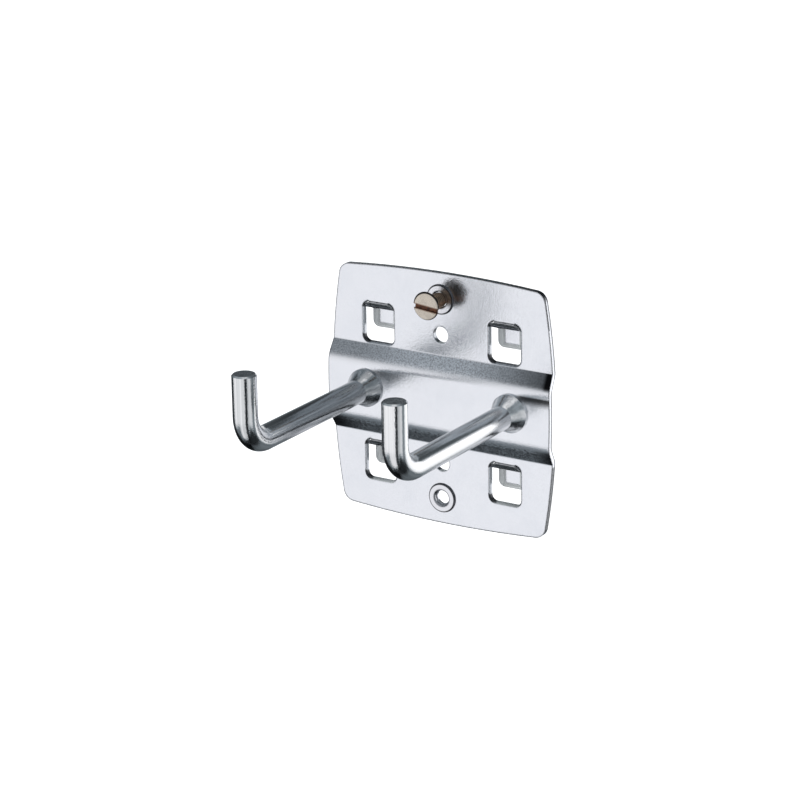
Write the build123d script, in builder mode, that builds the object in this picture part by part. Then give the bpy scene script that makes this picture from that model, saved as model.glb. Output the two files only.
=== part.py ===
from build123d import *
from math import atan2, degrees, pi, radians, tan
import os

# Double tool hook for a tool panel with square holes. Millimetres.
# The back of the plate's flanges lies in Y = 0, the panel is on the +Y side and the hooks reach out to -Y.
# The origin is midway between the two plain screw holes.

# Pressed back plate: sheet and outline
sheet = 1.5
plate_width = 67.0
plate_height = 68.4
corner_width = 61.0
corner_height = 65.8
corner_radius = 3.2
trim_margin = 2.0

# Raised band across the plate
band_rise = 2.4
band_width = 24.4
band_centre = -0.2
flank_angle = 30.0
ridge_radius = 6.0
crease_radius = 0.4

# Windows, on the pitch of the panel's holes, and the tabs lanced out of them
panel_pitch = 38.0
window_width = 9.26
window_above_row = 4.35
window_sill = 0.55
window_radius = 1.7
window_bevel = 0.4
tab_slot = 0.2
tab_corner_radius = 1.8
tab_gap = 2.5
tab_shoulder = 0.4
bend_inside = 0.5
lead_in_width = 1.5
lead_in_height = 0.6
lead_in_depth = 0.5
lead_in_slope = 0.8

# Plain screw holes between the band and the bushes
screw_hole = 4.5
screw_hole_spacing = 35.0

# Threaded bushes pressed into the plate
bush_spacing = 54.2
bush_flange_diameter = 7.9
bush_flange = 0.5
bush_flange_bevel = 0.15
bush_shank = 6.0
bush_bore = 4.1
bush_mouth = 4.8
press_clearance = 0.02

# Hooks: bent bar, collar in front of the band, tail through it and riveted head behind it
hook_spacing = 43.7
hook_height = 0.5
bar_diameter = 6.4
hook_reach = 54.7
hook_rise = 19.0
hook_bend_radius = 8.0
hook_end_bevel = 0.4
collar_diameter = 10.3
collar_length = 4.7
collar_land = 0.6
tail_diameter = 5.0
rivet_diameter = 9.5
rivet_height = 1.6

# Locking screw in the upper bush, as far out as it stands at rest
screw_stand_out = 7.2
screw_length = 8.0
screw_shank = 3.6
screw_head = 7.5
screw_head_rim = 0.4
screw_head_bevel = 0.25
screw_tip_bevel = 0.4
screw_slot_width = 1.05
screw_slot_depth = 1.0
screw_slot_turn = -6.0
screw_slot_offset = -0.6

# Faces and places that several pieces share
flange_front = -sheet
band_front = flange_front - band_rise
crease_top = band_centre + band_width / 2
crease_bottom = band_centre - band_width / 2
window_height = panel_pitch / 2 + window_above_row - crease_top - window_sill
window_places = [
    (column, row)
    for column in (-panel_pitch / 2, panel_pitch / 2)
    for row in (-panel_pitch / 2, panel_pitch / 2)
]
bush_heights = (bush_spacing / 2, -bush_spacing / 2)
hook_columns = (-hook_spacing / 2, hook_spacing / 2)


def turning_plane(x: float, y: float, z: float) -> Plane:
    """Plane for a turned profile: local X runs back along +Y from the point, local Y is the radius."""
    return Plane((x, y, z), x_dir=(0, 1, 0), z_dir=(1, 0, 0))


# The joggle of a tab, about the middle of the panel's hole: back through the hole, then down behind it.
# Its sides follow the window that it was lanced out of, and its root runs up into the plate between the
# window's rounded corners.
tab_width = window_width - 2 * tab_slot
tab_neck = window_width - 2 * window_radius
tab_back = tab_gap + sheet
bend_outside = bend_inside + sheet
root_top = window_above_row + sheet
shelf_bottom = window_above_row - bend_outside
shoulder_bottom = shelf_bottom - bend_inside - tab_shoulder

with BuildPart() as joggle:
    with BuildSketch(Plane.YZ):
        with BuildLine():
            FilletPolyline(
                (flange_front, root_top),
                (flange_front, shelf_bottom),
                (tab_gap, shelf_bottom),
                (tab_gap, shoulder_bottom),
                radius=[bend_outside, bend_inside],
            )
            offset(amount=sheet, side=Side.LEFT)
        make_face()
    extrude(amount=tab_width / 2, both=True)
    with BuildSketch(Plane.XZ.offset(-tab_back)):
        with Locations((0, window_above_row - tab_slot)):
            RectangleRounded(
                tab_width,
                window_height,
                window_radius - tab_slot,
                align=(Align.CENTER, Align.MAX),
            )
        with Locations((0, root_top)):
            Rectangle(tab_neck, root_top - shoulder_bottom, align=(Align.CENTER, Align.MAX))
    extrude(amount=tab_back - flange_front, mode=Mode.INTERSECT)

# A whole tab: the joggle and its hanging part, whose panel side is coined down round the rim as a lead-in.
# Before it was bent, the tab was as long as the window that it came out of is high.
bend_length = pi / 2 * (bend_inside + sheet / 2)
shelf_length = tab_gap - flange_front - bend_outside - bend_inside
tab_hang = window_height - 2 * bend_length - shelf_length - tab_shoulder

with BuildPart() as lanced_tab:
    with BuildSketch(Plane.XZ.offset(-tab_back)) as rim:
        with Locations((0, shoulder_bottom)):
            Rectangle(tab_width, tab_hang, align=(Align.CENTER, Align.MAX))
        fillet(rim.vertices().group_by(Axis.Y)[0], tab_corner_radius)
    extrude(amount=sheet - lead_in_depth)
    with BuildSketch(Plane.XZ.offset(-tab_gap - lead_in_depth)):
        with Locations((0, shoulder_bottom + lead_in_slope)):
            Rectangle(
                tab_width - 2 * lead_in_width,
                tab_hang - lead_in_height + lead_in_slope,
                align=(Align.CENTER, Align.MAX),
            )
    extrude(amount=lead_in_depth, taper=degrees(atan2(lead_in_slope, lead_in_depth)))
    add(joggle.part)

# The back plate: a sheet with the band pressed across it, cut to a barrel outline
flank_run = band_rise / tan(radians(flank_angle))
blank_half_height = plate_height / 2 + trim_margin

with BuildPart() as back_plate:
    with BuildSketch(Plane.YZ):
        with BuildLine():
            FilletPolyline(
                (flange_front, blank_half_height),
                (flange_front, crease_top),
                (band_front, crease_top - flank_run),
                (band_front, crease_bottom + flank_run),
                (flange_front, crease_bottom),
                (flange_front, -blank_half_height),
                radius=[crease_radius, ridge_radius, ridge_radius, crease_radius],
            )
            offset(amount=sheet, side=Side.LEFT)
        make_face()
    extrude(amount=plate_width / 2 + trim_margin, both=True)
    with BuildSketch(Plane.XZ) as outline:
        with BuildLine():
            corner = Vector(corner_width / 2, corner_height / 2)
            ThreePointArc((-corner.X, corner.Y), (0, plate_height / 2), (corner.X, corner.Y))
            ThreePointArc((corner.X, corner.Y), (plate_width / 2, 0), (corner.X, -corner.Y))
            ThreePointArc((corner.X, -corner.Y), (0, -plate_height / 2), (-corner.X, -corner.Y))
            ThreePointArc((-corner.X, -corner.Y), (-plate_width / 2, 0), (-corner.X, corner.Y))
        make_face()
        fillet(outline.vertices(), corner_radius)
    extrude(amount=sheet + band_rise, mode=Mode.INTERSECT)
    with BuildSketch(Plane.XZ):
        with Locations([(x, z + window_above_row) for x, z in window_places]):
            RectangleRounded(window_width, window_height, window_radius, align=(Align.CENTER, Align.MAX))
    extrude(amount=sheet, mode=Mode.SUBTRACT)
    chamfer(back_plate.edges(Select.LAST).group_by(Axis.Y)[0], window_bevel)
    with BuildSketch(Plane.XZ):
        with GridLocations(0, screw_hole_spacing, 1, 2):
            Circle(screw_hole / 2)
        with GridLocations(0, bush_spacing, 1, 2):
            Circle(bush_shank / 2 + press_clearance)
        with Locations([(x, hook_height) for x in hook_columns]):
            Circle(tail_diameter / 2 + press_clearance)
    extrude(amount=sheet + band_rise, mode=Mode.SUBTRACT)
    with Locations([(x, 0, z) for x, z in window_places]):
        add(lanced_tab.part)


def tool_hook(column: float) -> Part:
    """One hook: the bent bar with its collar, tail and riveted head turned about the bar's axis."""
    upright = band_front - hook_reach
    root = turning_plane(column, band_front, hook_height)
    with BuildPart() as hook:
        with BuildLine():
            FilletPolyline(
                (column, band_front, hook_height),
                (column, upright, hook_height),
                (column, upright, hook_height + hook_rise),
                radius=hook_bend_radius,
            )
        with BuildSketch(Plane((column, band_front, hook_height), z_dir=(0, -1, 0))):
            Circle(bar_diameter / 2)
        sweep()
        chamfer(hook.faces().sort_by(Axis.Z)[-1].edges(), hook_end_bevel)
        with BuildSketch(root):
            with BuildLine():
                Polyline(
                    (sheet + rivet_height, 0),
                    (sheet + rivet_height, rivet_diameter / 2),
                    (sheet, rivet_diameter / 2),
                    (sheet, tail_diameter / 2),
                    (0, tail_diameter / 2),
                    (0, collar_diameter / 2),
                    (-collar_land, collar_diameter / 2),
                    (-collar_length, bar_diameter / 2),
                    (-collar_length, 0),
                    close=True,
                )
            make_face()
        revolve(axis=Axis(root.origin, (0, 1, 0)))
    return hook.part


def threaded_bush(height: float) -> Part:
    """One bush: a shank through the plate, with a thin flange in front of it and a bevelled mouth."""
    front = flange_front - bush_flange
    length = sheet + bush_flange
    seat = turning_plane(0, front, height)
    with BuildPart() as bush:
        with BuildSketch(seat):
            with BuildLine():
                Polyline(
                    (0, bush_mouth / 2),
                    (0, bush_flange_diameter / 2 - bush_flange_bevel),
                    (bush_flange_bevel, bush_flange_diameter / 2),
                    (bush_flange, bush_flange_diameter / 2),
                    (bush_flange, bush_shank / 2),
                    (length, bush_shank / 2),
                    (length, bush_bore / 2),
                    ((bush_mouth - bush_bore) / 2, bush_bore / 2),
                    close=True,
                )
            make_face()
        revolve(axis=Axis(seat.origin, (0, 1, 0)))
    return bush.part


# The locking screw: a slotted countersunk head on a shank that runs in the upper bush
head_plane = turning_plane(0, flange_front - screw_stand_out, bush_spacing / 2)
head_cone_end = screw_head_rim + (screw_head - screw_shank) / 2

with BuildPart() as locking_screw:
    with BuildSketch(head_plane):
        with BuildLine():
            Polyline(
                (0, 0),
                (0, screw_head / 2 - screw_head_bevel),
                (screw_head_bevel, screw_head / 2),
                (screw_head_rim, screw_head / 2),
                (head_cone_end, screw_shank / 2),
                (screw_length - screw_tip_bevel, screw_shank / 2),
                (screw_length, screw_shank / 2 - screw_tip_bevel),
                (screw_length, 0),
                close=True,
            )
        make_face()
    revolve(axis=Axis(head_plane.origin, (0, 1, 0)))
    with BuildSketch(Plane(head_plane.origin, x_dir=(1, 0, 0), z_dir=(0, -1, 0))):
        with Locations((0, screw_slot_offset)):
            Rectangle(2 * screw_head, screw_slot_width, rotation=screw_slot_turn)
    extrude(amount=-screw_slot_depth, mode=Mode.SUBTRACT)

pieces = {
    "back_plate": back_plate.part,
    "hook_left": tool_hook(hook_columns[0]),
    "hook_right": tool_hook(hook_columns[1]),
    "threaded_bush_upper": threaded_bush(bush_heights[0]),
    "threaded_bush_lower": threaded_bush(bush_heights[1]),
    "locking_screw": locking_screw.part,
}
os.makedirs("parts", exist_ok=True)
for name, piece in pieces.items():
    piece.label = name
    export_step(piece, f"parts/{name}.step")
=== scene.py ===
import logging
import math
from dataclasses import dataclass, field
from enum import Enum
from functools import reduce

import bmesh
import bpy
from mathutils import Matrix, Vector


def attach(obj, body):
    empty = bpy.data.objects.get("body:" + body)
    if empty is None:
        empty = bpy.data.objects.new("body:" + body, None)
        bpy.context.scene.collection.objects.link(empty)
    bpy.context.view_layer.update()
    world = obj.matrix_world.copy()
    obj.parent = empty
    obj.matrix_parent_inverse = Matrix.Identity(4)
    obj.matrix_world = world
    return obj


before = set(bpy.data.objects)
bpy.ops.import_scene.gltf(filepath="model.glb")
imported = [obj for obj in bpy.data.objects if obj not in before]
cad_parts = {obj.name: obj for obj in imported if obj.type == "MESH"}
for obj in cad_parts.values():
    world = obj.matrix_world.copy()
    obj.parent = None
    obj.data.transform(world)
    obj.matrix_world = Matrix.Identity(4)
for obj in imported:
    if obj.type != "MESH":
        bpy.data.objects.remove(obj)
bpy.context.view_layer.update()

MM = 0.001

log = logging.getLogger("double_tool_hook")

Socket = bpy.types.NodeSocket
Sockets = bpy.types.bpy_prop_collection
Value = float | Socket
Colour = tuple[float, float, float, float]


class Slot(Enum):
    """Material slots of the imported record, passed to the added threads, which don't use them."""

    BUSH = "bush_zinc"
    SCREW = "screw_zinc"


class Body(Enum):
    """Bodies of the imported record."""

    HOLDER = "holder"
    SCREW = "screw"


class Sum(Enum):
    """Sums that a Math node works out."""

    ADD = "ADD"
    SUBTRACT = "SUBTRACT"
    MULTIPLY = "MULTIPLY"
    DIVIDE = "DIVIDE"
    ROOT = "SQRT"
    SMALLER = "MINIMUM"
    LARGER = "MAXIMUM"
    SIZE = "ABSOLUTE"
    SIGN = "SIGN"
    SINE = "SINE"


@dataclass(frozen=True)
class Ramp:
    """A stretch of values, rising or falling, along which a share grows from none to full."""

    start: float
    full: float


def mm(start: float, full: float) -> Ramp:
    """Gives a ramp between two lengths in millimetres."""
    return Ramp(start * MM, full * MM)


RISING = Ramp(0.0, 1.0)
FALLING = Ramp(1.0, 0.0)


class Wiring:
    """Adds nodes to one node tree and joins them."""

    float_mix = (0, 2, 3)
    colour_mix = (0, 6, 7)

    def __init__(self, tree: bpy.types.NodeTree) -> None:
        """Takes the tree that the nodes go into."""
        self.tree = tree

    def add(self, kind: str, *inputs: object, **settings: object) -> bpy.types.Node:
        """Adds a node.

        Args:
            kind: Blender's name of the node type.
            inputs: what its first sockets are fed, in their order.
            settings: the node's own properties.

        Returns:
            The new node.
        """
        node = self.tree.nodes.new(kind)
        for name, value in settings.items():
            setattr(node, name, value)
        for socket, value in zip(node.inputs, inputs):
            self.feed(socket, value)
        return node

    def feed(self, target: Socket, value: object) -> None:
        """Links a socket to the target, or sets a plain value on it.

        Args:
            target: the socket to feed.
            value: a node's output, or a plain value.
        """
        if isinstance(value, bpy.types.NodeSocket):
            self.tree.links.new(value, target)
        else:
            target.default_value = value

    def sum(self, operation: Sum, *values: Value) -> Socket:
        """Works out a sum of one value or two."""
        return self.add("ShaderNodeMath", *values, operation=operation.value).outputs[0]

    def product(self, *values: Value) -> Socket:
        """Multiplies values in turn."""
        return reduce(lambda first, second: self.sum(Sum.MULTIPLY, first, second), values)

    def largest(self, *values: Value) -> Socket:
        """Gives the largest of the values."""
        return reduce(lambda first, second: self.sum(Sum.LARGER, first, second), values)

    def size(self, value: Value) -> Socket:
        """Gives a value without its sign."""
        return self.sum(Sum.SIZE, value)

    def length(self, first: Value, second: Value) -> Socket:
        """Gives the length of two values at right angles."""
        square = self.sum(Sum.ADD, self.product(first, first), self.product(second, second))
        return self.sum(Sum.ROOT, square)

    def ease(self, value: Value, ramp: Ramp, least: Value = 0.0, most: Value = 1.0) -> Socket:
        """Eases from one result to another along a ramp.

        Args:
            value: the value to read.
            ramp: where the ease starts and ends.
            least: the result before the ramp.
            most: the result after it.

        Returns:
            The eased value.
        """
        limits = (ramp.start, ramp.full, least, most)
        node = self.add("ShaderNodeMapRange", value, *limits, interpolation_type="SMOOTHSTEP")
        return node.outputs[0]

    def shares(self, *steps: tuple[Value, Ramp]) -> Socket:
        """Multiplies the shares that values have reached, each along its ramp."""
        return self.product(*(self.ease(value, ramp) for value, ramp in steps))

    def split(self, vector: Socket) -> Sockets:
        """Gives the X, Y and Z of a vector."""
        return self.add("ShaderNodeSeparateXYZ", vector).outputs

    def combine(self, *values: Value) -> Socket:
        """Makes a vector of its X, Y and Z."""
        return self.add("ShaderNodeCombineXYZ", *values).outputs[0]

    def place(self) -> Socket:
        """Gives the place on the piece in metres, at rest."""
        return self.add("ShaderNodeTexCoord").outputs["Object"]

    def facing(self) -> Socket:
        """Gives the direction that the surface faces."""
        return self.add("ShaderNodeNewGeometry").outputs["Normal"]

    def noise(self, vector: Socket, scale: Value, detail: float, roughness: float) -> Socket:
        """Adds a noise texture.

        Args:
            vector: where it is read.
            scale: its scale.
            detail: how many finer layers it has.
            roughness: how strong they are.

        Returns:
            Its value from 0 to 1.
        """
        node = self.add("ShaderNodeTexNoise")
        settings = {"Vector": vector, "Scale": scale, "Detail": detail, "Roughness": roughness}
        for name, given in settings.items():
            self.feed(node.inputs[name], given)
        return node.outputs[0]

    def between(self, share: Value, first: Value, second: Value) -> Socket:
        """Goes from one value to another.

        Args:
            share: how far it goes.
            first: the value at the start.
            second: the value at the end.

        Returns:
            The value at that share.
        """
        node = self.add("ShaderNodeMix", data_type="FLOAT")
        for index, given in zip(self.float_mix, (share, first, second)):
            self.feed(node.inputs[index], given)
        return node.outputs[0]

    def blend(self, share: Value, first: object, second: object, kind: str = "MIX") -> Socket:
        """Mixes two colours.

        Args:
            share: how much of the second colour there is.
            first: the first colour.
            second: the second colour.
            kind: Blender's name of the mix.

        Returns:
            The mixed colour.
        """
        node = self.add("ShaderNodeMix", data_type="RGBA", blend_type=kind)
        for index, given in zip(self.colour_mix, (share, first, second)):
            self.feed(node.inputs[index], given)
        return node.outputs[2]


class Paint(Wiring):
    """Wires one material round its Principled BSDF."""

    def __init__(self, name: str) -> None:
        """Makes the material with its shader.

        Args:
            name: the material's name.
        """
        self.material = bpy.data.materials.new(name)
        self.material.use_nodes = True
        super().__init__(self.material.node_tree)
        self.tree.nodes.clear()
        self.shader = self.add("ShaderNodeBsdfPrincipled")
        self.add("ShaderNodeOutputMaterial", self.shader.outputs[0])

    def show(self, name: str, value: object) -> None:
        """Feeds the shader's socket of that name."""
        self.feed(self.shader.inputs[name], value)


class Effect:
    """A shared effect of the finishes, kept as one shader node group."""

    name = "effect"
    takes: tuple[tuple[str, float], ...] = ()
    gives: tuple[str, ...] = ()
    vectors: tuple[str, ...] = ()

    def group(self) -> bpy.types.NodeTree:
        """Finds the node group, and builds it the first time.

        Returns:
            The group.
        """
        made = bpy.data.node_groups.get(self.name)
        if made is None:
            made = bpy.data.node_groups.new(self.name, "ShaderNodeTree")
            for name, value in self.takes:
                socket = made.interface.new_socket(name, in_out="INPUT", socket_type="NodeSocketFloat")
                socket.default_value = value
            for name in self.gives:
                kind = "NodeSocketVector" if name in self.vectors else "NodeSocketFloat"
                made.interface.new_socket(name, in_out="OUTPUT", socket_type=kind)
            wiring = Wiring(made)
            inputs = wiring.add("NodeGroupInput").outputs
            outputs = wiring.add("NodeGroupOutput").inputs
            for name, socket in self.wire(wiring, inputs).items():
                wiring.feed(outputs[name], socket)
        return made

    def wire(self, wiring: Wiring, inputs: Sockets) -> dict[str, Socket]:
        """Builds the inside of the group.

        Args:
            wiring: the group's wiring.
            inputs: the group's input sockets.

        Returns:
            The socket for each name that the group gives.
        """
        raise NotImplementedError

    def put(self, wiring: Wiring, **values: Value) -> Sockets:
        """Places the group in a material.

        Args:
            wiring: the material's wiring.
            values: its inputs, with underscores for spaces.

        Returns:
            Its outputs.
        """
        node = wiring.add("ShaderNodeGroup", node_tree=self.group())
        for name, value in values.items():
            wiring.feed(node.inputs[name.replace("_", " ").title()], value)
        return node.outputs


class PlatingGrain(Effect):
    """Fine speckle and slow waviness of a plated sheet."""

    name = "plating grain"
    takes = (("Speckle Size", 0.25 * MM), ("Wave Size", 6.0 * MM))
    gives = ("Speckle", "Wave")

    def wire(self, wiring: Wiring, inputs: Sockets) -> dict[str, Socket]:
        """Reads two noises at the two sizes.

        Args:
            wiring: the group's wiring.
            inputs: the two sizes.

        Returns:
            The two noises.
        """
        place = wiring.place()
        fine, slow = (wiring.sum(Sum.DIVIDE, 1.0, inputs[name]) for name, _ in self.takes)
        return {
            "Speckle": wiring.noise(place, fine, detail=1.5, roughness=0.6),
            "Wave": wiring.noise(place, slow, detail=3.0, roughness=0.55),
        }


class DrawnStreaks(Effect):
    """Lines that drawing leaves along a bent bar, round its bend too."""

    name = "drawn streaks"
    takes = (
        ("Bend Y", 0.0),
        ("Bend Z", 0.0),
        ("Bend Radius", 8.0 * MM),
        ("Line Size", 0.35 * MM),
        ("Line Length", 60.0 * MM),
    )
    gives = ("Fine", "Broad")
    broad_scale = 0.28

    def wire(self, wiring: Wiring, inputs: Sockets) -> dict[str, Socket]:
        """Reads noises over the bar's section that change little along its line.

        Args:
            wiring: the group's wiring.
            inputs: the bend's place and radius, and the lines' sizes.

        Returns:
            The fine and the broad lines.
        """
        x, y, z = wiring.split(wiring.place())
        back = wiring.sum(Sum.SMALLER, wiring.sum(Sum.SUBTRACT, y, inputs["Bend Y"]), 0.0)
        down = wiring.sum(Sum.SMALLER, wiring.sum(Sum.SUBTRACT, z, inputs["Bend Z"]), 0.0)
        across = wiring.sum(Sum.SUBTRACT, inputs["Bend Radius"], wiring.length(back, down))
        along = wiring.sum(Sum.SUBTRACT, y, z)
        line, run = (wiring.sum(Sum.DIVIDE, 1.0, inputs[name]) for name in ("Line Size", "Line Length"))
        scaled = ((x, line), (across, line), (along, run))
        vector = wiring.combine(*(wiring.product(value, scale) for value, scale in scaled))
        return {
            "Fine": wiring.noise(vector, 1.0, detail=2.0, roughness=0.6),
            "Broad": wiring.noise(vector, self.broad_scale, detail=2.0, roughness=0.5),
        }


class TurnedRings(Effect):
    """Rings that turning leaves round an axis along Y."""

    name = "turned rings"
    takes = (("Axis X", 0.0), ("Axis Z", 0.0), ("Pitch", 0.12 * MM))
    gives = ("Ring", "Radius")
    swing = Ramp(-1.0, 1.0)

    def wire(self, wiring: Wiring, inputs: Sockets) -> dict[str, Socket]:
        """Waves over the distance from the axis.

        Args:
            wiring: the group's wiring.
            inputs: the axis and the rings' pitch.

        Returns:
            The wave, and the distance from the axis.
        """
        x, _, z = wiring.split(wiring.place())
        across = wiring.sum(Sum.SUBTRACT, x, inputs["Axis X"])
        up = wiring.sum(Sum.SUBTRACT, z, inputs["Axis Z"])
        radius = wiring.length(across, up)
        turns = wiring.product(wiring.sum(Sum.DIVIDE, radius, inputs["Pitch"]), 2 * math.pi)
        return {"Ring": wiring.ease(wiring.sum(Sum.SINE, turns), self.swing), "Radius": radius}


class RolledEdges(Effect):
    """Rounding that shearing leaves along a sheet's edges, and the share of the surface that it takes."""

    name = "rolled edges"
    takes = (("Reach", 0.4 * MM),)
    gives = ("Direction", "Roll")
    vectors = ("Direction",)
    samples = 6
    turned = Ramp(0.997, 0.93)

    def wire(self, wiring: Wiring, inputs: Sockets) -> dict[str, Socket]:
        """Compares the surface's direction with the one that rounded edges would have.

        Args:
            wiring: the group's wiring.
            inputs: how far the rounding reaches.

        Returns:
            The rounded direction, and the share of the surface that is rounded.
        """
        rounded = wiring.add("ShaderNodeBevel", inputs["Reach"], samples=self.samples).outputs[0]
        turn = wiring.add("ShaderNodeVectorMath", rounded, wiring.facing(), operation="DOT_PRODUCT")
        return {"Direction": rounded, "Roll": wiring.ease(turn.outputs["Value"], self.turned)}


@dataclass(frozen=True)
class Finish:
    """A finish and the material that shows it."""

    name: str
    tone: Colour
    deep: Colour
    roughness: float
    bump: float
    metallic: float = 1.0
    rough_ramp: Ramp = Ramp(0.3, 0.7)
    rough_range: float = 0.0
    depth: float = 0.0

    def material(self) -> bpy.types.Material:
        """Builds the finish's material.

        Returns:
            The material, with the finish's nodes.
        """
        paint = Paint(self.name)
        paint.show("Metallic", self.metallic)
        self.dress(paint)
        paint.material.diffuse_color = self.tone
        return paint.material

    def dress(self, paint: Paint) -> None:
        """Feeds the material's shader."""
        raise NotImplementedError

    def rough(self, paint: Paint, value: Socket) -> Socket:
        """Works out the roughness, which grows with a value along its ramp."""
        return paint.ease(value, self.rough_ramp, self.roughness, self.roughness + self.rough_range)

    def relief(self, paint: Paint, height: Socket, direction: Socket | None = None) -> None:
        """Feeds a bump to the shader.

        Args:
            paint: the material's wiring.
            height: how high the relief stands, in parts of its depth.
            direction: the surface's direction, where it isn't the mesh's own.
        """
        node = paint.add("ShaderNodeBump")
        if direction is not None:
            paint.feed(node.inputs["Normal"], direction)
        node.inputs["Strength"].default_value = self.bump
        node.inputs["Distance"].default_value = self.depth
        paint.feed(node.inputs["Height"], height)
        paint.show("Normal", node.outputs[0])


class SheetMarks(Wiring):
    """Finds the marks of the press on the sheet, and where shade and light are painted on it, each as its share
    of the surface.

    The ramps are in lengths along X, Y or Z, or in parts of the direction that the surface faces.
    """

    off_band = mm(12.9, 13.4)
    well_across = mm(29.0, 28.0)
    well_up = mm(31.5, 30.5)
    on_front = mm(-0.9, -1.1)
    side_on = Ramp(0.35, 0.2)
    off_front = Ramp(-0.95, -0.85)
    off_back = Ramp(0.5, 0.3)
    # Painted light on the lower edges of the windows and holes, which face up.
    sill_up = Ramp(0.45, 0.65)
    sill_left = Ramp(0.5, 0.25)

    # Painted shade on the band's flanks, mottled, stronger on the lower flank.
    flank_tilt = Ramp(0.2, 0.45)
    flank_front = Ramp(-0.6, -0.75)
    upper_flank = Ramp(0.2, 0.42)
    lower_flank = Ramp(-0.2, -0.42)
    mottled = Ramp(0.34, 0.72)
    mottle_change = Ramp(-0.2, 0.2)
    mottle_lower = 0.85
    mottle_upper = 0.42

    # Painted shade on the outline's rolled edge and along the back of its wall.
    roll_shade = 0.85
    back_edge_dark = 0.8
    back_edge_shade = mm(-0.66, -0.54)
    band_centre = -0.2 * MM
    band_flank = mm(12.2, 6.4)
    band_rise = 2.4 * MM

    half_pitch = 19.0 * MM
    # Painted shade at the start of the tabs' bends and on the creases above them.
    turn_start = Ramp(-0.02, -0.09)
    turn_end = Ramp(-0.65, -0.35)
    bend_front = mm(1.6, 1.2)
    bend_top = 4.75 * MM
    crease_top = mm(0.0, -0.08)
    crease_foot = mm(-0.5, -0.42)
    crease_side = mm(3.7, 3.4)
    head_edge = mm(-0.65, -0.35)
    # Painted shade in the lower left corner of each window's edge.
    corner_reach = mm(-9.0, -9.6)
    corner_near = mm(-6.8, -6.6)
    corner_dark = 0.9

    # Painted shade at the ends of the band's flanks.
    upper_end_shades = (mm(4.0, 40.0), mm(30.0, 32.2))
    upper_left_shade = mm(-6.0, -26.0)
    upper_left_dark = 0.36
    lower_end_shades = (mm(27.5, 33.5), mm(-22.0, -32.0))
    end_shade_dark = 0.95
    flank_end = mm(30.6, 32.0)

    # Painted reflections of the collars on the band's ridge, and painted shade at the upper flank's right end.
    ridge_foot = mm(2.8, 5.1)
    ridge_top = mm(6.0, 5.4)
    ridge_front = Ramp(-0.5, -0.7)
    left_reflection_start = mm(-21.0, -19.0)
    left_reflection_end = mm(-9.0, -17.0)
    left_reflection_dark = 0.5
    right_reflection = mm(22.5, 25.5)
    right_reflection_dark = 0.92

    # Painted shade in the gap round each bush's flange.
    bush_height = 27.1 * MM
    bush_seam_shade = mm(4.15, 3.95)

    # Painted light on each tab's coined rim and slope.
    tab_front = mm(2.2, 2.4)
    tab_facing = Ramp(-0.3, -0.45)
    tab_slope = Ramp(-0.98, -0.92)
    tab_rim = mm(2.65, 2.85)

    def __init__(self, tree: bpy.types.NodeTree) -> None:
        """Reads the place on the sheet, the direction that it faces, and the main parts of the sheet.

        Args:
            tree: the material's tree.
        """
        super().__init__(tree)
        self.x, self.y, self.z = self.split(self.place())
        self.right, self.ahead, self.up = self.split(self.facing())
        self.inside = self.shares((self.size(self.x), self.well_across), (self.size(self.z), self.well_up))
        self.beside = self.ease(self.size(self.z), self.off_band)
        self.wall = self.ease(self.size(self.ahead), self.side_on)
        self.slope = self.shares((self.ahead, self.off_front), (self.ahead, self.off_back))
        self.across, self.above = (self.past_window(given) for given in (self.x, self.z))

    def past_window(self, given: Socket) -> Socket:
        """Gives how far an X or Z is past that of the nearest window's middle."""
        middle = self.product(self.sum(Sum.SIGN, given), self.half_pitch)
        return self.sum(Sum.SUBTRACT, given, middle)

    def mottle(self, speckle: Socket) -> Socket:
        """Finds the painted shade on the band's flanks, mottled by the plating's speckle.

        Args:
            speckle: the plating's speckle.

        Returns:
            Its share of the surface, larger on the lower flank.
        """
        flank = self.shares((self.size(self.up), self.flank_tilt), (self.ahead, self.flank_front))
        dark = self.ease(self.up, self.mottle_change, self.mottle_lower, self.mottle_upper)
        return self.product(flank, self.ease(speckle, self.mottled, most=dark))

    def shears(self) -> Socket:
        """Finds the sheared walls of the windows and holes."""
        return self.product(self.wall, self.inside)

    def sills(self) -> Socket:
        """Finds the lower edges of the windows and holes, which face up and get painted light."""
        edges = self.shares((self.up, self.sill_up), (self.right, self.sill_left))
        return self.product(self.inside, self.beside, edges)

    def bends(self) -> Socket:
        """Finds the painted shade at the start of the bends at the tabs' roots, with the creases above them."""
        start = self.shares((self.up, self.turn_start), (self.up, self.turn_end), (self.y, self.bend_front))
        return self.product(self.largest(start, self.creases()), self.beside)

    def creases(self) -> Socket:
        """Finds the painted shade on the crease above each bend, on the plate's front, and on the window's
        upper edge beside it.

        Returns:
            Their share of the surface.
        """
        over = self.sum(Sum.SUBTRACT, self.above, self.bend_top)
        wide = (self.size(self.across), self.crease_side)
        crease = self.shares((over, self.crease_top), (over, self.crease_foot), wide)
        upper = self.product(self.ease(over, self.head_edge), self.slope)
        return self.product(self.largest(crease, upper), self.ease(self.y, self.on_front))

    def corners(self) -> Socket:
        """Finds the lower left corner of each window's edge, which gets painted shade.

        Returns:
            Their share of the surface.
        """
        diagonal = self.sum(Sum.ADD, self.across, self.above)
        reach = self.ease(diagonal, self.corner_reach, most=self.corner_dark)
        near = self.ease(self.sum(Sum.SMALLER, self.across, self.above), self.corner_near)
        return self.product(reach, near, self.slope)

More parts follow.
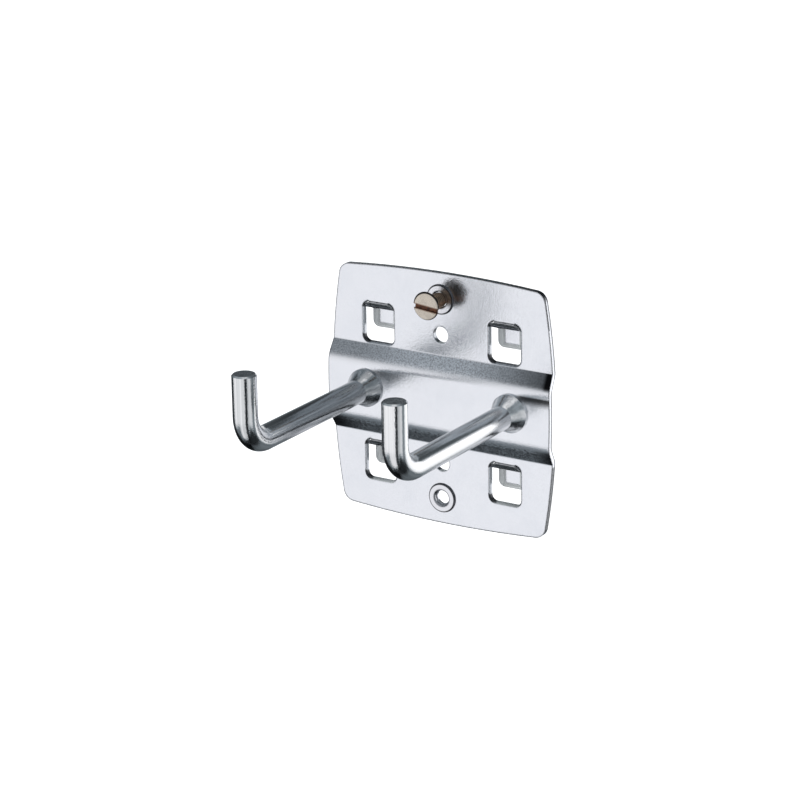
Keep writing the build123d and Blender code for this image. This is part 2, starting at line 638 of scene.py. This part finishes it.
    def outline(self, roll: Socket) -> Socket:
        """Finds the painted shade on the rolled edge of the outline, and the painted dark line along the back
        of its wall.

        Args:
            roll: the share of the surface that is rolled.

        Returns:
            Their share of the surface.
        """
        rolled = self.product(roll, self.ease(self.inside, FALLING, most=self.roll_shade))
        wall = self.product(self.wall, self.ease(self.inside, FALLING, most=self.back_edge_dark))
        level = self.size(self.sum(Sum.SUBTRACT, self.z, self.band_centre))
        back = self.ease(level, self.band_flank, most=-self.band_rise)
        line = self.ease(self.sum(Sum.SUBTRACT, self.y, back), self.back_edge_shade)
        return self.largest(rolled, self.product(wall, line))

    def flank_end_shades(self) -> Socket:
        """Finds the painted shade at the ends of the band's flanks.

        Returns:
            Their share of the surface.
        """
        above, below = (
            self.largest(*(self.ease(self.x, end) for end in ends))
            for ends in (self.upper_end_shades, self.lower_end_shades)
        )
        left = self.ease(self.x, self.upper_left_shade, most=self.upper_left_dark)
        upper = self.product(self.ease(self.up, self.upper_flank), self.largest(above, left))
        lower = self.product(self.ease(self.up, self.lower_flank), below)
        return self.product(self.largest(upper, lower), self.end_shade_dark)

    def painted_reflections(self) -> Socket:
        """Finds the painted dark reflections of the collars on the band's upper ridge, right of each collar,
        and the painted shade at the upper flank's right end.

        Returns:
            Their share of the surface.
        """
        ridge = self.shares((self.z, self.ridge_foot), (self.z, self.ridge_top), (self.ahead, self.ridge_front))
        fading = self.ease(self.x, self.left_reflection_end, most=self.left_reflection_dark)
        left = self.product(self.ease(self.x, self.left_reflection_start), fading)
        right = self.ease(self.x, self.right_reflection, most=self.right_reflection_dark)
        end = self.shares((self.up, self.upper_flank), (self.x, self.flank_end))
        return self.largest(end, self.product(ridge, self.largest(left, right)))

    def seam_shades(self) -> Socket:
        """Finds the painted shade in the gap round each bush's flange.

        Returns:
            Their share of the surface.
        """
        heights = (self.bush_height, -self.bush_height)
        rings = [TurnedRings().put(self, axis_z=height)["Radius"] for height in heights]
        found = self.largest(*(self.ease(radius, self.bush_seam_shade) for radius in rings))
        return self.product(found, self.ease(self.y, self.on_front))

    def coined(self) -> Socket:
        """Finds the coined rim round each tab's front, and the slope down to it, which get painted light.

        Returns:
            Their share of the surface.
        """
        front = self.shares((self.y, self.tab_front), (self.ahead, self.tab_facing))
        slope = self.product(front, self.ease(self.ahead, self.tab_slope))
        return self.largest(slope, self.product(front, self.ease(self.y, self.tab_rim)))


@dataclass(frozen=True)
class SheetZinc(Finish):
    """Satin zinc on pressed sheet: lilac white, grey on the sheared walls, with painted shade on flanks, edges
    and bends and painted light on sills and tabs.
    """

    name: str = "satin sheet zinc"
    tone: Colour = (0.765, 0.785, 0.825, 1.0)
    deep: Colour = (0.72, 0.745, 0.79, 1.0)
    roughness: float = 0.17
    bump: float = 0.5
    sheared: Colour = (0.50, 0.52, 0.55, 1.0)
    # Painted shade: the near-black colour of the shade painted on the flanks, rolled edges, flank ends and
    # bends.
    painted_shade: Colour = (0.03, 0.032, 0.036, 1.0)
    # Painted shade at the tabs' bends, speckled with the darker painted shade.
    bent: Colour = (0.20, 0.21, 0.22, 1.0)
    # Colour of the painted shade round the bushes' flanges.
    seam_shade: Colour = (0.05, 0.05, 0.055, 1.0)
    # Near-black painted shade for the windows' corners and the collars' painted reflections.
    black: Colour = (0.008, 0.008, 0.009, 1.0)
    # Painted light: the near-white colour of the light painted on the sills and the tabs' coined rims.
    painted_light: Colour = (0.93, 0.96, 0.95, 1.0)
    speckle: float = 0.42 * MM
    wave: float = 7.0 * MM
    rolled: float = 0.6 * MM
    depth: float = 0.045 * MM
    cloudy: Ramp = Ramp(0.35, 0.75)
    cloud: float = 0.6
    dotted: Ramp = Ramp(0.4, 0.65)
    dots: float = 0.7
    rough_range: float = 0.07
    matt_metal: float = 0.15
    matt_rough: float = 0.2

    def dress(self, paint: Paint) -> None:
        """Feeds colour, roughness and relief from the plating's grain, the marks of the press and the painted
        shade and light.

        Args:
            paint: the material's wiring.
        """
        grain = PlatingGrain().put(paint, speckle_size=self.speckle, wave_size=self.wave)
        edges = RolledEdges().put(paint, reach=self.rolled)
        marks = SheetMarks(paint.tree)
        sills, coined = marks.sills(), marks.coined()
        dots = paint.ease(grain["Speckle"], self.dotted, most=self.dots)
        # Every layer but the grey sheared walls paints shade or light over the plating's tone.
        layers = (
            (marks.mottle(grain["Speckle"]), self.painted_shade),
            (marks.shears(), self.sheared),
            (sills, self.painted_light),
            (marks.bends(), paint.blend(dots, self.bent, self.painted_shade)),
            (marks.corners(), self.black),
            (marks.outline(edges["Roll"]), self.painted_shade),
            (marks.flank_end_shades(), self.painted_shade),
            (marks.painted_reflections(), self.black),
            (marks.seam_shades(), self.seam_shade),
            (coined, self.painted_light),
        )
        clouds = paint.ease(grain["Wave"], self.cloudy, most=self.cloud)
        body = paint.blend(clouds, self.tone, self.deep)
        for share, colour in layers:
            body = paint.blend(share, body, colour)
        paint.show("Base Color", body)
        # The sills and coined rims that take painted light are also made matt.
        matt = paint.largest(sills, coined)
        paint.show("Metallic", paint.ease(matt, RISING, self.metallic, self.matt_metal))
        rough = self.rough(paint, grain["Speckle"])
        paint.show("Roughness", paint.sum(Sum.ADD, rough, paint.product(matt, self.matt_rough)))
        self.relief(paint, grain["Speckle"], edges["Direction"])


@dataclass(frozen=True)
class BarZinc(Finish):
    """Glossy zinc on drawn bar, with lengthwise streaks and a fine grain."""

    tone: Colour = (0.86, 0.87, 0.88, 1.0)
    deep: Colour = (0.62, 0.64, 0.65, 1.0)
    roughness: float = 0.08
    bump: float = 0.5
    bend_y: float = -50.6 * MM
    bend_z: float = 8.5 * MM
    bend_radius: float = 8.0 * MM
    streaky: Ramp = Ramp(0.35, 0.68)
    rough_range: float = 0.1
    dulled: float = 0.0
    dull: Colour = (0.30, 0.32, 0.335, 1.0)
    dull_run: Ramp = mm(-52.0, -40.0)
    dull_streaks: Ramp = Ramp(0.2, 0.5)
    speckle: float = 0.3 * MM
    speckle_weight: float = 4.0
    depth: float = 0.012 * MM

    def dress(self, paint: Paint) -> None:
        """Feeds colour, roughness and relief from the drawing lines, with a duller plating on the lying bar.

        Args:
            paint: the material's wiring.
        """
        bend = {"bend_y": self.bend_y, "bend_z": self.bend_z, "bend_radius": self.bend_radius}
        lines = DrawnStreaks().put(paint, **bend)
        grain = PlatingGrain().put(paint, speckle_size=self.speckle)
        _, y, _ = paint.split(paint.place())
        lying = paint.ease(y, self.dull_run, most=self.dulled)
        dulled = paint.product(lying, paint.ease(lines["Broad"], self.dull_streaks))
        body = paint.blend(paint.ease(lines["Broad"], self.streaky), self.tone, self.deep)
        paint.show("Base Color", paint.blend(dulled, body, self.dull))
        paint.show("Roughness", self.rough(paint, lines["Fine"]))
        specks = paint.product(grain["Speckle"], self.speckle_weight)
        self.relief(paint, paint.sum(Sum.ADD, lines["Fine"], specks))


@dataclass(frozen=True)
class TurnedZinc(Finish):
    """Bright zinc on the turned bushes, with painted shade round the rim and in the mouth."""

    tone: Colour = (0.74, 0.75, 0.785, 1.0)
    # Colour of the painted shade on the rim and in the mouth.
    deep: Colour = (0.05, 0.052, 0.058, 1.0)
    roughness: float = 0.16
    bump: float = 0.5
    axis_z: float = 0.0
    # Painted shade round the rim and in the mouth, weaker where the surface turns aside.
    rim: Ramp = mm(3.5, 3.75)
    rim_facing: Ramp = Ramp(-0.6, -0.3)
    rim_shade: tuple[float, float] = (1.0, 0.7)
    mouth: Ramp = mm(2.75, 2.4)
    mouth_facing: Ramp = Ramp(-0.5, -0.2)
    mouth_shade: tuple[float, float] = (0.45, 0.1)
    rough_ramp: Ramp = RISING
    rough_range: float = 0.08
    depth: float = 0.004 * MM

    def dress(self, paint: Paint) -> None:
        """Feeds colour, roughness and relief from the turning rings, with painted shade on the rim and in the
        mouth.

        Args:
            paint: the material's wiring.
        """
        rings = TurnedRings().put(paint, axis_z=self.axis_z)
        _, ahead, _ = paint.split(paint.facing())
        rim_shade = paint.ease(ahead, self.rim_facing, *self.rim_shade)
        mouth_shade = paint.ease(ahead, self.mouth_facing, *self.mouth_shade)
        rim = paint.ease(rings["Radius"], self.rim, most=rim_shade)
        mouth = paint.ease(rings["Radius"], self.mouth, most=mouth_shade)
        paint.show("Base Color", paint.blend(paint.largest(rim, mouth), self.tone, self.deep))
        paint.show("Roughness", self.rough(paint, rings["Ring"]))
        self.relief(paint, rings["Ring"])


@dataclass(frozen=True)
class WarmZinc(Finish):
    """Warm passivated zinc on the screw, with dark flanks on its thread, painted glints on the crests, dark
    behind the head's face and a painted shade crescent round the head's upper left rim.
    """

    name: str = "warm screw zinc"
    tone: Colour = (0.66, 0.60, 0.52, 1.0)
    deep: Colour = (0.035, 0.031, 0.028, 1.0)
    roughness: float = 0.24
    bump: float = 0.4
    axis_z: float = 0.0
    head_face: float = 0.0
    slot_turn: float = 0.0
    slot_offset: float = 0.0
    # Painted glint: light colour on the thread's crests.
    painted_glint: Colour = (0.42, 0.29, 0.19, 1.0)
    slot_brown: Colour = (0.16, 0.075, 0.04, 1.0)
    pitch: float = 0.16 * MM
    speckle: float = 0.2 * MM
    wave: float = 1.6 * MM
    behind: Ramp = mm(0.03, 0.2)
    # Painted shade: a dark crescent round the head's upper left rim, outside a circle set off the axis.
    crescent_x: float = 0.14 * MM
    crescent_z: float = -0.22 * MM
    crescent_rim: Ramp = mm(3.45, 3.6)
    cloudy: Ramp = Ramp(0.3, 0.75)
    cloud: float = 0.16
    slot_band_reach: Ramp = mm(0.95, 0.55)
    slot_band_strength: float = 0.85
    shank: Ramp = mm(2.2, 2.4)
    # Painted glints where the thread's radius nears its crest.
    crest: Ramp = mm(1.90, 1.97)
    rough_range: float = 0.12
    depth: float = 0.004 * MM

    def dress(self, paint: Paint) -> None:
        """Feeds colour, roughness and relief from the turning rings and from the depth behind the face, with
        painted glints and a painted shade crescent.

        Args:
            paint: the material's wiring.
        """
        rings = TurnedRings().put(paint, axis_z=self.axis_z, pitch=self.pitch)
        # Rings about a point off the axis, for the painted shade crescent.
        crescent_rings = TurnedRings().put(paint, axis_x=self.crescent_x, axis_z=self.axis_z + self.crescent_z)
        grain = PlatingGrain().put(paint, speckle_size=self.speckle, wave_size=self.wave)
        x, y, z = paint.split(paint.place())
        back = paint.sum(Sum.SUBTRACT, y, self.head_face)
        dark = paint.largest(
            paint.ease(back, self.behind),
            paint.ease(crescent_rings["Radius"], self.crescent_rim),
            paint.ease(grain["Wave"], self.cloudy, most=self.cloud),
        )
        # Painted glints on the thread's crests.
        painted_glints = paint.shares((back, self.shank), (rings["Radius"], self.crest))
        body = paint.blend(dark, self.tone, self.deep)
        body = paint.blend(self.slot_band(paint, x, z), body, self.slot_brown)
        paint.show("Base Color", paint.blend(painted_glints, body, self.painted_glint))
        paint.show("Roughness", self.rough(paint, grain["Speckle"]))
        self.relief(paint, rings["Ring"])

    def slot_band(self, paint: Paint, x: Socket, z: Socket) -> Socket:
        """Finds the brown band along both sides of the slot.

        Args:
            paint: the material's wiring.
            x: the place's X.
            z: the place's Z.

        Returns:
            Its share of the surface.
        """
        turn = math.radians(-self.slot_turn)
        up = paint.sum(Sum.SUBTRACT, z, self.axis_z + self.slot_offset)
        away = paint.sum(Sum.ADD, paint.product(x, math.sin(turn)), paint.product(up, math.cos(turn)))
        return paint.ease(paint.size(away), self.slot_band_reach, most=self.slot_band_strength)


@dataclass(frozen=True)
class SlotShadeFill(Finish):
    """Dull red-brown filler in a screw's slot, standing in for the slot's shade."""

    name: str = "slot shade fill"
    tone: Colour = (0.22, 0.08, 0.035, 1.0)
    deep: Colour = (0.06, 0.027, 0.016, 1.0)
    roughness: float = 0.7
    bump: float = 0.5
    metallic: float = 0.0
    speckle: float = 0.18 * MM
    wave: float = 0.9 * MM
    blotchy: Ramp = Ramp(0.35, 0.7)
    depth: float = 0.05 * MM

    def dress(self, paint: Paint) -> None:
        """Feeds a blotchy colour, a dull surface and a crumbly relief.

        Args:
            paint: the material's wiring.
        """
        grain = PlatingGrain().put(paint, speckle_size=self.speckle, wave_size=self.wave)
        paint.show("Roughness", self.roughness)
        share = paint.ease(grain["Wave"], self.blotchy)
        paint.show("Base Color", paint.blend(share, self.tone, self.deep))
        self.relief(paint, grain["Speckle"])


@dataclass(frozen=True)
class FloorPaint(Finish):
    """Plain pale paint of the studio's floor, which glows so that it shows white."""

    name: str = "pale floor paint"
    tone: Colour = (0.93, 0.93, 0.93, 1.0)
    deep: Colour = (0.9, 0.9, 0.9, 1.0)
    roughness: float = 0.8
    bump: float = 0.0
    metallic: float = 0.0
    glow: Colour = (1.0, 1.0, 1.0, 1.0)
    glow_strength: float = 1.0
    speckle: float = 3.0 * MM
    wave: float = 90.0 * MM

    def dress(self, paint: Paint) -> None:
        """Feeds a pale colour with a faint grain.

        Args:
            paint: the material's wiring.
        """
        paint.show("Emission Color", self.glow)
        paint.show("Emission Strength", self.glow_strength)
        paint.show("Roughness", self.roughness)
        grain = PlatingGrain().put(paint, speckle_size=self.speckle, wave_size=self.wave)
        paint.show("Base Color", paint.blend(grain["Wave"], self.tone, self.deep))


@dataclass
class CadPiece:
    """A CAD node that keeps its shape and gets its finish."""

    node: str
    finish: Finish

    def build(self) -> None:
        """Puts the finish on the node."""
        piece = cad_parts[self.node]
        piece.data.materials.clear()
        piece.data.materials.append(self.finish.material())
        log.info("%s: %s", self.node, self.finish.name)


@dataclass
class Thread:
    """A helical ridge about an axis along Y, with its section in parts of the pitch."""

    name: str
    body: Body
    slot: Slot
    finish: Finish
    axis: Vector
    start: float
    end: float
    root: float
    crest: float
    pitch: float = 0.7 * MM
    steps: int = 40
    foot: float = 0.46
    tip: float = 0.1
    fade_rate: float = 1.5
    least_height: float = 0.02
    sharp_angle: float = 40.0

    def build(self) -> bpy.types.Object:
        """Builds the ridge and puts it on its body.

        Returns:
            The ridge's object.
        """
        shape = bmesh.new()
        turns = (self.end - self.start) / self.pitch
        rows = self.wind(shape, int(turns * self.steps))
        sides = len(rows[0])
        for first, second in zip(rows, rows[1:]):
            for index in range(sides):
                after = (index + 1) % sides
                shape.faces.new((first[index], first[after], second[after], second[index]))
        shape.faces.new(rows[0])
        shape.faces.new(list(reversed(rows[-1])))
        bmesh.ops.recalc_face_normals(shape, faces=shape.faces)
        mesh = bpy.data.meshes.new(self.name)
        shape.to_mesh(mesh)
        shape.free()
        mesh.materials.append(self.finish.material())
        mesh.shade_smooth()
        mesh.set_sharp_from_angle(angle=math.radians(self.sharp_angle))
        piece = bpy.data.objects.new(self.name, mesh)
        bpy.context.scene.collection.objects.link(piece)
        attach(piece, self.body.value)
        log.info("%s: %d turns", self.name, round(turns))
        return piece

    def wind(self, shape: bmesh.types.BMesh, count: int) -> list[list[bmesh.types.BMVert]]:
        """Winds the ridge's section round the axis, fading out at both ends.

        Args:
            shape: the mesh that takes the corners.
            count: how many steps the ridge has.

        Returns:
            The section's corners at each step.
        """
        rows: list[list[bmesh.types.BMVert]] = []
        for step in range(count + 1):
            angle = 2 * math.pi * step / self.steps
            middle = self.start + self.pitch * step / self.steps
            ends = (step / self.steps * self.fade_rate, (count - step) / self.steps * self.fade_rate)
            crest = self.root + (self.crest - self.root) * max(min(1.0, *ends), self.least_height)
            section = ((-self.foot, self.root), (-self.tip, crest), (self.tip, crest), (self.foot, self.root))
            row: list[bmesh.types.BMVert] = []
            for share, radius in section:
                along = middle + share * self.pitch
                corner = Vector((radius * math.cos(angle), along, radius * math.sin(angle)))
                row.append(shape.verts.new(self.axis + corner))
            rows.append(row)
        return rows


@dataclass
class PressedPlate:
    """The pressed sheet, as the CAD gives it."""

    finish: Finish = SheetZinc()

    def build(self) -> None:
        """Dresses the plate."""
        CadPiece("back_plate", self.finish).build()


@dataclass
class HookPair:
    """The two bent bars with their collars."""

    dulled: tuple[tuple[str, float], ...] = (("hook_left", 0.75), ("hook_right", 0.0))

    def build(self) -> None:
        """Dresses both hooks, the left one duller along its bar."""
        for node, dulled in self.dulled:
            CadPiece(node, BarZinc(f"drawn bar zinc {node}", dulled=dulled)).build()


@dataclass
class ThreadedBushes:
    """The two bushes, and the thread that shows in the empty one."""

    spacing: float = 54.2 * MM
    bore: float = 2.05 * MM
    crest: float = 1.72 * MM
    sunk: float = 0.02 * MM
    thread_start: float = -1.35 * MM
    thread_end: float = -0.3 * MM

    def build(self) -> None:
        """Dresses the bushes and cuts the lower one's thread."""
        height = self.spacing / 2
        upper = TurnedZinc("turned zinc upper", axis_z=height)
        lower = TurnedZinc("turned zinc lower", axis_z=-height)
        CadPiece("threaded_bush_upper", upper).build()
        CadPiece("threaded_bush_lower", lower).build()
        Thread(
            "lower_bush_thread", Body.HOLDER, Slot.BUSH, lower, Vector((0, 0, -height)),
            start=self.thread_start, end=self.thread_end, root=self.bore + self.sunk, crest=self.crest,
        ).build()


@dataclass
class LockingScrew:
    """The slotted countersunk screw, its thread and the dark filler that paints the shade in its slot."""

    height: float = 27.1 * MM
    shank: float = 1.8 * MM
    crest: float = 1.985 * MM
    sunk: float = 0.02 * MM
    thread_start: float = -6.0 * MM
    thread_end: float = -1.3 * MM
    face: float = -8.7 * MM
    slot_turn: float = -6.0
    slot_offset: float = -0.6 * MM
    slot_width: float = 1.05 * MM
    slot_floor: float = 1.0 * MM
    # The painted-shade filler's top and its gap to the head's cone.
    fill_depth: float = 0.55 * MM
    fill_gap: float = 0.02 * MM
    head_radius: float = 3.75 * MM
    head_rim: float = 0.4 * MM
    finish: Finish = field(init=False)

    def __post_init__(self) -> None:
        """Makes the screw's finish about its axis and its slot."""
        self.finish = WarmZinc(
            axis_z=self.height, head_face=self.face, slot_turn=self.slot_turn, slot_offset=self.slot_offset
        )

    def build(self) -> None:
        """Dresses the screw, winds its thread and fills the foot of its slot with painted shade."""
        CadPiece("locking_screw", self.finish).build()
        Thread(
            "screw_thread", Body.SCREW, Slot.SCREW, self.finish, Vector((0, 0, self.height)),
            start=self.thread_start, end=self.thread_end, root=self.shank - self.sunk, crest=self.crest,
        ).build()
        self.fill_slot()

    def fill_slot(self) -> None:
        """Lays the dark filler that paints the slot's shade along the slot's floor, a little short of the
        head's cone at both ends.
        """
        turn = Matrix.Rotation(math.radians(-self.slot_turn), 3, "Y")
        half = self.slot_width / 2
        corners: list[Vector] = []
        for depth in (self.fill_depth, self.slot_floor):
            reach = self.head_radius - max(depth - self.head_rim, 0.0) - self.fill_gap
            far = math.sqrt(reach**2 - (abs(self.slot_offset) + half) ** 2)
            middle = Vector((0, self.face + depth, self.slot_offset))
            for up in (-half, half):
                corners += [turn @ Vector((across, 0, up)) + middle for across in (-far, far)]
        faces = [(0, 1, 3, 2), (4, 6, 7, 5), (0, 4, 5, 1), (2, 3, 7, 6), (0, 2, 6, 4), (1, 5, 7, 3)]
        mesh = bpy.data.meshes.new("slot_shade_fill")
        mesh.from_pydata([corner + Vector((0, 0, self.height)) for corner in corners], [], faces)
        mesh.materials.append(SlotShadeFill().material())
        piece = bpy.data.objects.new("slot_shade_fill", mesh)
        bpy.context.scene.collection.objects.link(piece)
        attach(piece, Body.SCREW.value)
        log.info("slot_shade_fill: %.2f mm deep", (self.slot_floor - self.fill_depth) / MM)


@dataclass(frozen=True)
class Shade:
    """A stretch of the room's bright ring that is lighter or darker, in degrees from the front."""

    azimuth: float
    reach: float
    fade: float
    light: float


@dataclass
class Studio:
    """Pale floor and soft light all round.

    The ramps are in parts of the direction from the part: X to the right, Y to the back and Z up.
    """

    floor_height: float = -0.30
    floor_size: float = 12.0
    shades: tuple[Shade, ...] = (
        Shade(azimuth=-110.0, reach=33.0, fade=8.0, light=0.05),
        Shade(azimuth=-14.0, reach=20.0, fade=24.0, light=1.12),
        Shade(azimuth=46.0, reach=12.0, fade=6.0, light=0.02),
        Shade(azimuth=78.0, reach=19.0, fade=8.0, light=0.74),
        Shade(azimuth=112.0, reach=13.0, fade=8.0, light=0.28),
        Shade(azimuth=155.0, reach=30.0, fade=10.0, light=1.45),
    )
    least_level: float = 0.0001
    ring_foot: Ramp = Ramp(-0.62, -0.42)
    low_front: Ramp = Ramp(-0.22, -0.44)
    low_right: Ramp = Ramp(-0.42, -0.28)
    low_back: Ramp = Ramp(-0.1, 0.5)
    low_front_light: float = 0.85
    low_left_light: float = 0.19
    low_right_light: tuple[float, float] = (0.03, 0.12)
    dome_back: Ramp = Ramp(-0.4, 0.5)
    dome_light: tuple[float, float] = (0.46, 0.08)
    dome_right: Ramp = Ramp(0.1, 0.5)
    dome_right_light: float = 0.06
    overhead: Ramp = Ramp(0.86, 0.97)
    overhead_light: float = 0.9
    behind: Ramp = Ramp(-0.3, 0.2)
    front_rise: Ramp = Ramp(-0.33, 0.62)
    back_rise: Ramp = Ramp(0.02, 0.26)
    back_rise_right: float = 0.17
    lit: Ramp = Ramp(0.2, 0.9)
    dim_tint: Colour = (0.86, 0.98, 1.07, 1.0)
    bright_tint: Colour = (0.99, 0.985, 1.0, 1.0)

    def build(self) -> None:
        """Lays the floor and lights the room."""
        self.lay_floor()
        self.light_room()
        settings = bpy.context.scene.view_settings
        settings.view_transform = "Standard"
        settings.look = "None"

    def lay_floor(self) -> None:
        """Lays a pale floor that only the camera sees, so that the plating reflects the room's light."""
        half = self.floor_size / 2
        mesh = bpy.data.meshes.new("studio_floor")
        corners = [(-half, -half, 0), (half, -half, 0), (half, half, 0), (-half, half, 0)]
        mesh.from_pydata(corners, [], [(0, 1, 2, 3)])
        mesh.materials.append(FloorPaint().material())
        floor = bpy.data.objects.new("studio_floor", mesh)
        floor.location.z = self.floor_height
        floor.visible_glossy = False
        floor.visible_diffuse = False
        bpy.context.scene.collection.objects.link(floor)

    def light_room(self) -> None:
        """Lights the room: a bright ring round the part, under a dim dome that darkens to the back."""
        world = bpy.data.worlds.new("studio_room")
        bpy.context.scene.world = world
        world.use_nodes = True
        world.node_tree.nodes.clear()
        wiring = Wiring(world.node_tree)
        x, y, z = wiring.split(wiring.add("ShaderNodeTexCoord").outputs["Generated"])
        steep = wiring.sum(Sum.SUBTRACT, z, wiring.ease(x, self.dome_right, most=self.back_rise_right))
        rises = (wiring.ease(z, self.front_rise), wiring.ease(steep, self.back_rise))
        share = wiring.between(wiring.ease(y, self.behind), *rises)
        light = wiring.between(share, self.ring(wiring, x, y, z), self.dome(wiring, x, y, z))
        tint = wiring.blend(wiring.ease(light, self.lit), self.dim_tint, self.bright_tint)
        back = wiring.add("ShaderNodeBackground", wiring.blend(1.0, light, tint, "MULTIPLY"))
        wiring.add("ShaderNodeOutputWorld", back.outputs[0])

    def ring(self, wiring: Wiring, x: Socket, y: Socket, z: Socket) -> Socket:
        """Works out the bright ring, with its lighter and darker stretches and its dim foot.

        Args:
            wiring: the world's wiring.
            x: the direction's X.
            y: the direction's Y.
            z: the direction's Z.

        Returns:
            The ring's light.
        """
        square = wiring.sum(Sum.SUBTRACT, 1.0, wiring.product(z, z))
        level = wiring.sum(Sum.ROOT, wiring.largest(square, self.least_level))
        ahead = wiring.shares((y, self.low_front), (x, self.low_right))
        right_light = wiring.ease(y, self.low_back, *self.low_right_light)
        below = wiring.ease(x, self.low_right, self.low_left_light, right_light)
        foot = wiring.ease(ahead, RISING, below, self.low_front_light)
        shades = [self.shade(wiring, x, y, level, side) for side in self.shades]
        return wiring.product(wiring.ease(z, self.ring_foot, foot), *shades)

    def shade(self, wiring: Wiring, x: Socket, y: Socket, level: Socket, side: Shade) -> Socket:
        """Works out one stretch of the ring.

        Args:
            wiring: the world's wiring.
            x: the direction's X.
            y: the direction's Y.
            level: the length of the direction's level part.
            side: the stretch.

        Returns:
            What the ring's light is multiplied by.
        """
        turn = math.radians(side.azimuth)
        across = wiring.product(x, math.sin(turn))
        ahead = wiring.product(y, -math.cos(turn))
        toward = wiring.sum(Sum.DIVIDE, wiring.sum(Sum.ADD, across, ahead), level)
        ends = (side.reach + side.fade / 2, side.reach - side.fade / 2)
        edge = Ramp(*(math.cos(math.radians(end)) for end in ends))
        return wiring.ease(toward, edge, 1.0, side.light)

    def dome(self, wiring: Wiring, x: Socket, y: Socket, z: Socket) -> Socket:
        """Works out the dim dome and the light right overhead.

        Args:
            wiring: the world's wiring.
            x: the direction's X.
            y: the direction's Y.
            z: the direction's Z.

        Returns:
            The dome's light.
        """
        side = wiring.ease(x, self.dome_right, most=self.dome_right_light)
        dome = wiring.sum(Sum.ADD, wiring.ease(y, self.dome_back, *self.dome_light), side)
        return wiring.largest(dome, wiring.ease(z, self.overhead, most=self.overhead_light))


@dataclass
class PhotoCamera:
    """The camera, where the photo was taken from."""

    azimuth: float = 32.328
    elevation: float = 18.15
    roll: float = -0.91
    distance: float = 775.569 * MM
    target: Vector = field(default_factory=lambda: Vector((-13.657, 0.0, -2.747)) * MM)
    lens: float = 132.764
    sensor: float = 36.0
    nearest: float = 0.01
    farthest: float = 50.0

    def build(self) -> None:
        """Sets the camera up."""
        turn, lift, lean = (math.radians(angle) for angle in (self.azimuth, self.elevation, self.roll))
        flat = math.cos(lift)
        back = Vector((math.sin(turn) * flat, -math.cos(turn) * flat, math.sin(lift)))
        right = Vector((math.cos(turn), math.sin(turn), 0.0))
        up = back.cross(right)
        right, up = (
            math.cos(lean) * right + math.sin(lean) * up,
            math.cos(lean) * up - math.sin(lean) * right,
        )
        data = bpy.data.cameras.new("photo_camera")
        data.lens = self.lens
        data.sensor_width = self.sensor
        data.clip_start, data.clip_end = self.nearest, self.farthest
        camera = bpy.data.objects.new("photo_camera", data)
        place = Matrix((right, up, back)).transposed().to_4x4()
        place.translation = self.target + back * self.distance
        camera.matrix_world = place
        bpy.context.scene.collection.objects.link(camera)
        bpy.context.scene.camera = camera


def main() -> None:
    """Builds the studio, the camera and every piece's look."""
    logging.basicConfig(level=logging.INFO, format="%(name)s %(message)s")
    for part in (Studio(), PhotoCamera(), PressedPlate(), HookPair(), ThreadedBushes(), LockingScrew()):
        part.build()


if __name__ == "__main__":
    main()
